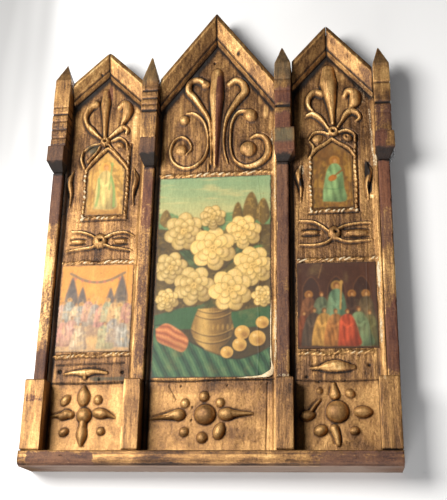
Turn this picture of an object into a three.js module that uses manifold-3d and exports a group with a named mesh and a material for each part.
// A small gilded triptych altarpiece: a plinth and a back board carry three gabled bays of carved and
// cast relief, four pillars with pointed heads, and five pasted pictures.
import * as THREE from "three";
import { mergeVertices } from "three/addons/utils/BufferGeometryUtils.js";
import Module from "manifold-3d";

const wasm = await Module();
wasm.setup();

// Driving dimensions in millimetres. x runs to the viewer's right from the middle of the plinth and z
// runs up from its underside. "out" is the distance in front of the flat back.
const OUT = {
  back: 0,
  boardFront: 12,
  field: 17,
  border: 19.5,
  shaft: 24.8,
  gableEdge: 25.5,
  gableRidge: 28,
  pinnacle: 33,
  capital: 34.5,
  pedestal: 34.3,
  nose: 36,
};
const BACK_Y = OUT.nose / 2;
const GAP = 0.3;
const PLINTH = { halfWidth: 145, height: 11.8, noseRadius: 2.4 };
const PEDESTAL_TOP = 67;
const EDGE_CHAMFER = 0.7;
const NOTCH_Z = 303;
const BOARD = { belowTip: 24, behindHead: 3, underRake: 1 };
const SHEET_THICKNESS = 0.6;

// Each pillar was cut and set by hand, so the four differ a little in place, width and height.
const PILLARS = [
  { pedestal: [-136.9, 8.1], shaft: [-137.2, 4.8], capital: [-138.0, 7.6, 257.6, 271.8],
    head: [-137.0, 7.5], shoulder: 337.4, tip: 356.0, leaning: 0.6 },
  { pedestal: [-59.0, 6.9], shaft: [-57.0, 4.7], capital: [-57.2, 7.1, 260.6, 275.8],
    head: [-57.8, 7.5], shoulder: 334.0, tip: 359.4, leaning: -0.8 },
  { pedestal: [58.8, 6.9], shaft: [57.2, 5.2], capital: [59.5, 8.8, 259.6, 279.6],
    head: [58.0, 7.4], shoulder: 343.3, tip: 362.0, leaning: -0.7 },
  { pedestal: [137.1, 8.1], shaft: [141.0, 5.0], capital: [142.3, 8.2, 257.8, 272.0],
    head: [141.8, 7.3], shoulder: 337.5, tip: 356.5, leaning: -1.6 },
];

// The three bays from left to right: the outer point of each gable, the steepness of its sides and the
// widths of its two sloping mouldings.
const BAYS = [
  { name: "left", peak: [-97.9, 368.1], slope: 0.975, rakeWidths: [14.6, 17.8] },
  { name: "centre", peak: [-1.4, 402.6], slope: 1.345, rakeWidths: [17.6, 17.2] },
  { name: "right", peak: [95.8, 383.0], slope: 1.16, rakeWidths: [17.2, 17.4] },
];
const BORDER_WIDTH = { left: 3.4, right: 4.4 };
const CAPITAL_TAPER = 7.2;
const HEAD_STEP = 0.8;

// The whole part is set so that the middle of its box is at x = 0.
const LEFT_END = PILLARS[0].capital[0] - PILLARS[0].capital[1];
const RIGHT_END = PILLARS[3].capital[0] + PILLARS[3].capital[1];
const MIDDLE_X = (LEFT_END + RIGHT_END) / 2;

const gilt = { color: 0xb98d4d, roughness: 0.5, metalness: 0.45 };
const bole = { color: 0x6b4642, roughness: 0.75, metalness: 0.1 };
const bareWood = { color: 0x6f6463, roughness: 0.85, metalness: 0 };
const paper = { color: 0xb9a878, roughness: 0.7, metalness: 0 };

const place = (x, out, z) => [x, BACK_Y - out, z];

// ---- closed solids from rings of points -------------------------------------------------------------

/** Six times the volume that a closed body holds, and negative where its faces point inwards. */
function sixfoldVolume(positions, faces) {
  const point = (i) => new THREE.Vector3(...positions.slice(3 * i, 3 * i + 3));
  let sum = 0;
  for (let i = 0; i < faces.length; i += 3) {
    sum += point(faces[i]).dot(point(faces[i + 1]).cross(point(faces[i + 2])));
  }
  return sum;
}

/** Joins rings that each have the same number of points into one closed body with flat ends. */
function skin(rings) {
  const count = rings[0].length;
  const positions = rings.flat(2);
  const faces = [];
  for (let ring = 0; ring + 1 < rings.length; ring += 1) {
    for (let i = 0; i < count; i += 1) {
      const a = ring * count + i;
      const b = ring * count + ((i + 1) % count);
      faces.push(a, b, b + count, a, b + count, a + count);
    }
  }
  const last = (rings.length - 1) * count;
  for (let i = 1; i + 1 < count; i += 1) {
    faces.push(0, i + 1, i);
    faces.push(last, last + i, last + i + 1);
  }
  if (sixfoldVolume(positions, faces) < 0) {
    faces.reverse();
  }
  const geometry = new THREE.BufferGeometry();
  geometry.setAttribute("position", new THREE.Float32BufferAttribute(positions, 3));
  geometry.setIndex(faces);
  return geometry;
}

/** Turns a flat outline of [x, z] points into a slab between two distances in front of the back. */
function slab(points, from, to) {
  const shape = new THREE.Shape(points.map(([x, z]) => new THREE.Vector2(x, z)));
  const geometry = new THREE.ExtrudeGeometry(shape, { depth: to - from, bevelEnabled: false });
  return geometry.rotateX(Math.PI / 2).translate(0, BACK_Y - from, 0);
}

/** One chamfered level of a pillar block: its middle, half width, back, front and height. */
function blockRing(x, halfWidth, back, front, z, chamfer = EDGE_CHAMFER) {
  const cut = Math.min(chamfer, halfWidth * 0.6, (front - back) * 0.3);
  return [
    place(x - halfWidth, back, z),
    place(x - halfWidth, front - cut, z),
    place(x - halfWidth + cut, front, z),
    place(x + halfWidth - cut, front, z),
    place(x + halfWidth, front - cut, z),
    place(x + halfWidth, back, z),
  ];
}

// ---- joining and cutting ----------------------------------------------------------------------------

function toSolid(geometry) {
  const bare = geometry.clone();
  bare.deleteAttribute("normal");
  bare.deleteAttribute("uv");
  const merged = mergeVertices(bare, 1e-4);
  return new wasm.Manifold(new wasm.Mesh({
    numProp: 3,
    vertProperties: Float32Array.from(merged.attributes.position.array),
    triVerts: Uint32Array.from(merged.index.array),
  }));
}

function toGeometry(solid) {
  const mesh = solid.getMesh();
  const geometry = new THREE.BufferGeometry();
  geometry.setAttribute("position", new THREE.BufferAttribute(mesh.vertProperties, 3));
  geometry.setIndex(new THREE.BufferAttribute(mesh.triVerts, 1));
  return geometry;
}

// ---- carved shapes that stand on a panel's field ----------------------------------------------------

const ROOT = 1.2;
const STRAND_SECTION = [[-1, -ROOT], [-0.66, 0.9], [0.5, 1], [1, -ROOT]];
const DOME_LEVELS = [[1, -ROOT], [1, 0.12], [0.72, 0.74]];

/**
 * A raised strand: a half-round section carried along a smooth curve through a few [x, z] points. Its
 * half width and height swell or shrink along the way by the two [start, middle, end] triples.
 */
function strand(points, { half, rise, steps }) {
  const curve = new THREE.CatmullRomCurve3(points.map(([x, z]) => new THREE.Vector3(x, 0, z)));
  const blend = ([a, b, c], t) => (t < 0.5 ? a + (b - a) * 2 * t : b + (c - b) * (2 * t - 1));
  const rings = [];
  for (let i = 0; i <= steps; i += 1) {
    const t = i / steps;
    const here = curve.getPointAt(t);
    const along = curve.getTangentAt(t);
    const halfWidth = blend(half, t);
    const height = blend(rise, t);
    rings.push(STRAND_SECTION.map(([side, up]) => place(
      here.x + along.z * side * halfWidth,
      OUT.field + (up < 0 ? up : up * height),
      here.z - along.x * side * halfWidth,
    )));
  }
  return skin(rings);
}

/** A rounded boss; "pull" draws one end out to a point, towards the angle "turn" in degrees. */
function boss([x, z], { size, rise, turn = 0, pull = 0, sides = 8 }) {
  const angle = THREE.MathUtils.degToRad(turn);
  const rings = DOME_LEVELS.map(([spread, up]) => {
    const ring = [];
    for (let i = 0; i < sides; i += 1) {
      const a = (-2 * Math.PI * i) / sides;
      const narrow = 1 - pull * Math.max(0, Math.cos(a)) ** 2;
      const u = Math.cos(a) * size[0] * spread;
      const v = Math.sin(a) * size[1] * spread * narrow;
      ring.push(place(
        x + u * Math.cos(angle) - v * Math.sin(angle),
        OUT.field + (up < 0 ? up : up * rise),
        z + u * Math.sin(angle) + v * Math.cos(angle),
      ));
    }
    return ring;
  });
  const top = rings[rings.length - 1].map(() => place(x, OUT.field + rise, z));
  return skin([...rings, top.map(([px, py, pz], i) => {
    const [rx, , rz] = rings[2][i];
    return [px + (rx - px) * 0.3, py, pz + (rz - pz) * 0.3];
  })]);
}

/** A beaded or twisted rope: a straight strand whose width and height rise and fall once a bead. */
function rope(start, end, { half = 1.5, rise = 2.2, pitch = 7 } = {}) {
  const length = Math.hypot(end[0] - start[0], end[1] - start[1]);
  const steps = Math.round(length / pitch) * 2;
  const dx = (end[0] - start[0]) / length;
  const dz = (end[1] - start[1]) / length;
  const rings = [];
  for (let i = 0; i <= steps; i += 1) {
    const swell = i % 2 ? 1 : 0.62;
    const x = start[0] + (dx * length * i) / steps;
    const z = start[1] + (dz * length * i) / steps;
    rings.push(STRAND_SECTION.map(([side, up]) => place(
      x + dz * side * half * swell,
      OUT.field + (up < 0 ? up : up * rise * swell),
      z - dx * side * half * swell,
    )));
  }
  return skin(rings);
}

const shifted = (points, dx, dz) => points.map(([x, z]) => [x + dx, z + dz]);
const mirrored = (points, axis) => points.map(([x, z]) => [2 * axis - x, z]).reverse();

// ---- the ornament of each bay -----------------------------------------------------------------------

/** Middle gable: a club-shaped stem between two S curls, over a pair of C scrolls with rolled eyes. */
function centreTympanum() {
  const axis = -1;
  const sCurl = [[-11, 332], [-17, 338], [-25, 335], [-25, 327], [-17, 316], [-9, 302], [-5, 280], [-4, 257]];
  const cScroll = [[-25, 307], [-16, 304], [-8, 286], [-9, 265], [-18, 255], [-31, 254], [-40, 265],
    [-38, 277], [-29, 281]];
  const solids = [strand([[axis, 345], [axis, 335], [axis, 310], [axis, 257]],
    { half: [6.4, 4.4, 2.6], rise: [5, 4.4, 3], steps: 10 })];
  for (const side of [0, 1]) {
    const s = side ? mirrored(sCurl, axis + 0.5) : sCurl;
    const c = side ? mirrored(cScroll, axis + 2) : cScroll;
    const half = side ? [1.8, 2, 3.4] : [3.4, 2, 1.8];
    solids.push(strand(s, { half, rise: [3.6, 3.4, 3.6], steps: 13 }));
    solids.push(strand(c, { half: [1.9, 2.1, 1.9], rise: [3, 3.2, 3], steps: 16 }));
  }
  solids.push(boss([-30, 298], { size: [4.4, 4.6], rise: 4.2 }));
  solids.push(boss([29, 301], { size: [5.6, 5.6], rise: 4.2 }));
  solids.push(boss([-30.5, 268.5], { size: [4.6, 4.6], rise: 3.6 }));
  solids.push(boss([28, 267.5], { size: [6.6, 6.6], rise: 4.6 }));
  return solids;
}

/** Side gable: a bud on a stem between two lobes and two leaves, tied by a ring over the window. */
function sideTympanum(x, z, { height, bud, lean, hook }) {
  const at = (points) => shifted(points, x, z);
  return [
    strand(at([[lean, height], [lean, height - 9], [lean * 0.7, height * 0.5], [0, 6]]),
      { half: [bud, bud * 0.7, 1.9], rise: [3.2, 4.6, 2.6], steps: 8 }),
    strand(at(hook), { half: [2.6, 2.4, 1.7], rise: [3.6, 3.8, 2.6], steps: 12 }),
    strand(at([[-22, 14], [-16, 16], [-10, 11], [-5, 3]]),
      { half: [1.2, 1.9, 1.6], rise: [2, 3, 2.4], steps: 8 }),
    boss([x + 17, z + 27], { size: [9.4, 5.6], turn: -82, rise: 4, pull: 0.45 }),
    boss([x + 12, z + 13], { size: [6.6, 3.2], turn: 38, rise: 3.2, pull: 0.5, sides: 6 }),
    boss([x, z], { size: [4.4, 4.4], rise: 4.2, sides: 6 }),
    boss([x - 12, z - 5], { size: [8, 3.6], turn: 205, rise: 3, pull: 0.5, sides: 6 }),
    boss([x + 14, z - 4], { size: [7.6, 4.4], turn: -40, rise: 3.4, pull: 0.4, sides: 6 }),
  ];
}

/** Window surround: a pointed moulding inside a beaded frame whose right side runs up past the point. */
function windowSurround({ x, apex, shoulder, sill, half, top }) {
  const leg = half * 0.72;
  const point = [[x - half, shoulder - 5], [x - leg, shoulder + 1], [x, apex], [x + leg, shoulder + 1],
    [x + half, shoulder - 5]];
  const bead = { half: 1.3 };
  return [
    strand(point, { half: [1.4, 1.4, 1.4], rise: [2.4, 2.4, 2.4], steps: 10 }),
    rope([x - half, shoulder - 4], [x - half, sill], bead),
    rope([x + half, top], [x + half, sill], bead),
    rope([x - half - 1, sill - 1], [x + half + 1, sill - 1]),
  ];
}

/** A pair of upright flame-shaped leaves, one at each side of the window. */
function flames(x, { spread, top, length }) {
  return [-1, 1].map((side) => strand(
    [[x + side * spread, top], [x + side * (spread + 2.4), top - length * 0.25],
      [x + side * spread, top - length * 0.6], [x + side * (spread + 0.6), top - length]],
    { half: [1.2, 2.4, 1], rise: [1.6, 3, 1.4], steps: 6 },
  ));
}

/** Bow: a pierced button with four long bars running out to the corners and a long eye at each side. */
function bow(x, z, { reach, spread }) {
  const solids = [boss([x, z], { size: [6.2, 6.4], rise: 4.2 })];
  for (const side of [-1, 1]) {
    for (const up of [-1, 1]) {
      solids.push(strand(
        [[x + side * 4.6, z + up * 4], [x + side * reach * 0.4, z + up * spread * 0.8],
          [x + side * reach, z + up * spread]],
        { half: [1.7, 1.5, 1.1], rise: [3.2, 2.6, 1.8], steps: 6 },
      ));
    }
    solids.push(boss([x + side * reach * 0.62, z - 0.5],
      { size: [reach * 0.26, 2.1], rise: 2.4, turn: side > 0 ? 0 : 180, pull: 0.4, sides: 6 }));
  }
  return solids;
}

/** A lying leaf with a thin tail to the left and a drooping lip. */
function lyingLeaf(x, z, { length, height, tail }) {
  return [
    boss([x, z], { size: [length / 2, height / 2], rise: 3.6, pull: 0.5 }),
    strand([[x - length / 2 + 2, z], [x - length / 2 - tail / 2, z + 0.8], [x - length / 2 - tail, z]],
      { half: [1.8, 1.5, 0.9], rise: [2.6, 2.2, 1.4], steps: 4 }),
  ];
}

/** A middle boss with four drops around it and beads between them, at the foot of a side bay. */
function sidePredella(x, z, { core, drops, beads }) {
  const solids = [boss([x, z], { size: core, rise: 6.2, sides: 10 })];
  for (const [dx, dz, length, width, turn] of drops) {
    solids.push(boss([x + dx, z + dz], { size: [length / 2, width / 2], turn, rise: 4.4, pull: 0.6 }));
  }
  for (const [dx, dz, radius] of beads) {
    solids.push(boss([x + dx, z + dz], { size: [radius, radius], rise: radius * 0.85, sides: 6 }));
  }
  return solids;
}

/** Foot of the middle bay: a dome between two long drops, with beads set round it. */
function centrePredella() {
  const dome = [-4, 41.5];
  const beads = [[-5, 55, 3.4], [-19.5, 50, 3.2], [7.5, 50, 3.2], [-20.5, 28, 3.6], [-6, 23.5, 4.2]];
  return [
    boss(dome, { size: [8.2, 8.2], rise: 6.4, sides: 10 }),
    boss([-28, 41], { size: [8.6, 4.8], turn: 180, rise: 5, pull: 0.5 }),
    strand([[-34, 40.4], [-40, 40], [-46, 39]], { half: [2.2, 1.5, 0.8], rise: [3, 2.2, 1.2], steps: 4 }),
    boss([13, 41.5], { size: [9, 5], turn: 0, rise: 5, pull: 0.5 }),
    strand([[19, 42], [25, 42.3], [32, 42]], { half: [2.2, 1.5, 0.8], rise: [3, 2.2, 1.2], steps: 4 }),
    boss([7, 29], { size: [5.6, 6], rise: 5 }),
    ...beads.map(([x, z, radius]) => boss([x, z], { size: [radius, radius], rise: radius * 0.9, sides: 6 })),
  ];
}

const PICTURES = {
  centre: { corners: [[-47.6, 70.5], [46.4, 71.5], [46.8, 243.4], [-47.8, 243.4]], rope: 246 },
  left: { corners: [[-128, 92.4], [-66.8, 92.8], [-66.8, 166.6], [-127.6, 166.6]], rope: 169 },
  right: { corners: [[68.2, 92.4], [130.8, 92.8], [130.8, 163.2], [68.4, 163.2]], rope: 165.8 },
};
const WINDOWS = {
  left: { x: -95.6, apex: 275, shoulder: 260, sill: 210.4, half: 18.2, top: 279 },
  right: { x: 98.8, apex: 275, shoulder: 264, sill: 210, half: 18.4, top: 278 },
};

function ornamentOf(bay) {
  if (bay === "centre") {
    return [
      ...centreTympanum(),
      rope([-48, PICTURES.centre.rope], [48, PICTURES.centre.rope], { half: 1.6, rise: 2.4 }),
      ...centrePredella(),
    ];
  }
  const left = bay === "left";
  const window = WINDOWS[bay];
  const picture = PICTURES[bay];
  const ropeX = left ? [-129, -65] : [69, 131.5];
  const predella = left
    ? { core: [7.4, 7.2],
      drops: [[0, 15, 16, 11, 90], [-15, 0, 18, 8.6, 180], [17, 0.5, 17, 8.4, 0], [-1, -15.5, 20, 9.6, -90]],
      beads: [[-14, 12.5, 3.8], [11, 12, 3.4], [-14, -13, 4], [14.5, -13, 3.6]] }
    : { core: [8.8, 9],
      drops: [[-3, 17, 15, 8.4, 90], [-22, -2, 13, 8.2, 180], [19, -0.5, 15, 8.4, 0],
        [-1.5, -18, 14, 8.8, -90]],
      beads: [[-13, 15.5, 2.8], [9.5, 13.5, 3.4], [-13, -13.5, 4.8], [13, -14.5, 3.6]] };
  return [
    ...(left
      ? sideTympanum(-98.5, 281.5, { height: 50, bud: 4.6, lean: -2.4,
        hook: [[-11, 38], [-17, 33], [-19, 25], [-15, 17], [-10, 11], [-4, 4]] })
      : sideTympanum(100, 282, { height: 58, bud: 6.6, lean: -3,
        hook: [[-9, 36], [-15, 38], [-21, 31], [-19, 23], [-13, 21]] })),
    ...windowSurround(window),
    ...(left ? flames(-98.5, { spread: 27, top: 254, length: 34 })
      : flames(99.5, { spread: 27, top: 252, length: 34 })),
    ...(left ? bow(-97.8, 188, { reach: 27.5, spread: 8.4 }) : bow(99, 189.4, { reach: 29, spread: 9.6 })),
    rope([ropeX[0], picture.rope], [ropeX[1], picture.rope]),
    rope([ropeX[0] + 1, 89.6], [ropeX[1], 89.6]),
    ...(left ? lyingLeaf(-97, 74.6, { length: 16, height: 5.6, tail: 14 })
      : lyingLeaf(98, 77.6, { length: 26, height: 9, tail: 9 })),
    ...(left ? sidePredella(-100, 41.5, predella) : sidePredella(97.5, 43.5, predella)),
  ];
}

// ---- the pieces -------------------------------------------------------------------------------------

const altarpiece = new THREE.Group();

function add(name, geometry, finish) {
  const mesh = new THREE.Mesh(geometry, new THREE.MeshStandardMaterial({ ...finish, flatShading: true }));
  mesh.name = name;
  mesh.position.x = -MIDDLE_X;
  altarpiece.add(mesh);
}

/** Plinth: a slab with a rounded nose, extruded along the whole width. */
function plinth() {
  const { halfWidth, height, noseRadius: r } = PLINTH;
  const profile = [[0, 0], [OUT.nose - 2 * r, 0]];
  for (let i = 1; i <= 4; i += 1) {
    const a = (Math.PI / 2) * (i / 4);
    profile.push([OUT.nose - 2 * r + 2 * r * Math.sin(a), 1.6 * r * (1 - Math.cos(a))]);
  }
  profile.push([OUT.nose, height - r * 0.6], [OUT.nose - 0.8, height], [0, height]);
  return skin([-halfWidth, halfWidth].map((x) => profile.map(([out, z]) => place(x, out, z))));
}

/** The height of a gable's outer edge over x, and of its inner edge on one side of the peak. */
const gableAt = ({ peak, slope }, x) => peak[1] - Math.abs(x - peak[0]) * slope;
const innerAt = (bay, x, side) => (
  gableAt(bay, x) - bay.rakeWidths[side < 0 ? 0 : 1] * Math.hypot(1, bay.slope)
);

/** The x of each bay's two sides, between its pillar shafts. */
function bayEdges(index) {
  const [left, right] = [PILLARS[index], PILLARS[index + 1]];
  return [left.shaft[0] + left.shaft[1] + GAP, right.shaft[0] - right.shaft[1] - GAP];
}

function backBoard() {
  const first = PILLARS[0].shaft[0] - PILLARS[0].shaft[1];
  const last = PILLARS[3].shaft[0] + PILLARS[3].shaft[1];
  const outline = [[first, PLINTH.height + GAP], [last, PLINTH.height + GAP]];
  outline.push([last, PILLARS[3].tip - BOARD.belowTip]);
  for (let i = 2; i >= 0; i -= 1) {
    const bay = BAYS[i];
    for (const pillar of [PILLARS[i + 1], null, PILLARS[i]]) {
      if (pillar) {
        const side = Math.sign(bay.peak[0] - pillar.head[0]);
        const x = pillar.head[0] + side * (pillar.head[1] - BOARD.behindHead);
        outline.push([x, gableAt(bay, x) - BOARD.underRake]);
      } else {
        outline.push([bay.peak[0], bay.peak[1] - BOARD.underRake]);
      }
    }
  }
  outline.push([first, PILLARS[0].tip - BOARD.belowTip]);
  return slab(outline, OUT.back, OUT.boardFront);
}

/** One pillar's three pieces, each as levels of a chamfered block that stand on the back board. */
function pillarPieces({ pedestal, shaft, capital, head, shoulder, tip, leaning }) {
  const back = OUT.boardFront + GAP;
  const [headX, headHalf] = head;
  const [capitalX, capitalHalf, capitalLow, capitalTop] = capital;
  const [shaftX, shaftHalf] = shaft;
  const level = (x, half, front, z) => blockRing(x, half, back, front, z);
  const taperFoot = capitalLow - CAPITAL_TAPER;
  const pedestalRings = [
    level(pedestal[0], pedestal[1], OUT.pedestal, PLINTH.height + GAP),
    level(pedestal[0], pedestal[1], OUT.pedestal, PEDESTAL_TOP - 1),
    level(pedestal[0], pedestal[1] - 0.8, OUT.pedestal - 0.8, PEDESTAL_TOP),
  ];
  const shaftRings = [
    level(shaftX, shaftHalf, OUT.shaft, PEDESTAL_TOP + GAP),
    level(shaftX, shaftHalf, OUT.shaft, taperFoot - GAP),
  ];
  const pinnacleRings = [
    level(shaftX, shaftHalf + 0.2, OUT.shaft + 0.6, taperFoot),
    level(capitalX, capitalHalf, OUT.capital, capitalLow),
    level(capitalX, capitalHalf, OUT.capital, capitalTop),
    level(headX, headHalf - 0.5, OUT.pinnacle - 0.6, capitalTop + HEAD_STEP),
    level(headX, headHalf - 0.5, OUT.pinnacle - 0.6, NOTCH_Z - 1.6),
    level(headX, headHalf - 1.3, OUT.pinnacle - 1.6, NOTCH_Z - 0.8),
    level(headX, headHalf - 1.3, OUT.pinnacle - 1.6, NOTCH_Z),
    level(headX, headHalf, OUT.pinnacle, NOTCH_Z + 0.8),
    level(headX, headHalf, OUT.pinnacle, shoulder),
    blockRing(headX + leaning, 0.8, OUT.pinnacle - 8.4, OUT.pinnacle - 6.8, tip),
  ];
  return [pedestalRings, shaftRings, pinnacleRings].map((rings) => skin(rings));
}

/**
 * One sloping moulding. Its section is a list of [distance in from the outer edge, out] points, and every
 * point runs down the slope from the peak to the pillar's head, so both ends are upright cuts.
 */
function rake(bay, side, footX) {
  const width = bay.rakeWidths[side < 0 ? 0 : 1];
  const section = [
    [0, OUT.boardFront + GAP],
    [0, OUT.gableEdge],
    [3.8, OUT.gableRidge],
    [width - 4.6, 23],
    [width - 2.6, 21.6],
    [width - 1.8, 18.8],
    [width, 18.2],
    [width, OUT.boardFront + GAP],
  ];
  const stretch = Math.hypot(1, bay.slope);
  const ends = [bay.peak[0] + side * (GAP / 2), footX];
  if (side > 0) {
    ends.reverse();
  }
  return skin(ends.map((x) => section.map(([inward, out]) => (
    place(x, out, gableAt(bay, x) - inward * stretch)
  ))));
}

/** A panel: a slab up to the rakes, raised borders at its sides, its ornament, less the pillars' room. */
function reliefPanel(index, pillarSolids) {
  const bay = BAYS[index];
  const [left, right] = bayEdges(index);
  const low = PLINTH.height + GAP;
  const top = (x, side) => innerAt(bay, x, side) - GAP;
  const middle = bay.peak[0];
  const outline = [[left, low], [right, low], [right, top(right, 1)], [middle, top(middle, 1)],
    [middle, top(middle, -1)], [left, top(left, -1)]];
  let panel = toSolid(slab(outline, OUT.boardFront + GAP, OUT.field));
  for (const [x, wide] of [[left, BORDER_WIDTH.left], [right, -BORDER_WIDTH.right]]) {
    const section = [[0, OUT.field - ROOT], [0, OUT.border], [0.4, OUT.border], [1, OUT.field - ROOT]];
    panel = panel.add(toSolid(skin([low, top(x, -wide) - 1].map((z) => (
      section.map(([share, out]) => place(x + share * wide, out, z))
    )))));
  }
  for (const geometry of ornamentOf(bay.name)) {
    panel = panel.add(toSolid(geometry));
  }
  for (const pillar of pillarSolids) {
    panel = panel.subtract(pillar);
  }
  return toGeometry(panel);
}

/** The room that a pillar's blocks need in the panels beside it. */
function pillarRoom({ pedestal, capital, head }) {
  const box = (x, half, low, high) => toSolid(skin([low, high].map((z) => (
    blockRing(x, half + GAP, OUT.boardFront - 2, OUT.nose + 4, z, 0)
  ))));
  return [
    box(pedestal[0], pedestal[1], 0, PEDESTAL_TOP + GAP),
    box(capital[0], capital[1], capital[2] - CAPITAL_TAPER - GAP, capital[3] + HEAD_STEP + GAP),
    box(head[0], head[1], capital[3], 420),
  ];
}

/** A thin sheet pasted on the field. */
function sheet(corners) {
  return slab(corners, OUT.field + GAP, OUT.field + GAP + SHEET_THICKNESS);
}

/** The small picture inside a window surround: a gabled sheet. */
function windowSheet({ x, apex, shoulder, sill, half }) {
  const inner = half - 1.9;
  const leg = inner * 0.66;
  return sheet([[x - inner, sill + 1.4], [x + inner, sill + 1.4], [x + inner, shoulder - 6],
    [x + leg, shoulder], [x, apex - 3.4], [x - leg, shoulder], [x - inner, shoulder - 6]]);
}

add("plinth", plinth(), bole);
add("back_board", backBoard(), bareWood);

PILLARS.forEach((pillar, index) => {
  const [pedestal, shaft, pinnacle] = pillarPieces(pillar);
  add(`pedestal_${index + 1}`, pedestal, gilt);
  add(`shaft_${index + 1}`, shaft, gilt);
  add(`pinnacle_${index + 1}`, pinnacle, bole);
});

const rooms = PILLARS.flatMap((pillar) => pillarRoom(pillar));
BAYS.forEach((bay, index) => {
  const [left, right] = [PILLARS[index], PILLARS[index + 1]];
  add(`relief_panel_${bay.name}`, reliefPanel(index, rooms), gilt);
  add(`rake_${bay.name}_a`, rake(bay, -1, left.head[0] + left.head[1] + GAP), gilt);
  add(`rake_${bay.name}_b`, rake(bay, 1, right.head[0] - right.head[1] - GAP), gilt);
  add(`picture_${bay.name}`, sheet(PICTURES[bay.name].corners), paper);
});
for (const bay of ["left", "right"]) {
  add(`window_picture_${bay}`, windowSheet(WINDOWS[bay]), paper);
}

export default altarpiece;
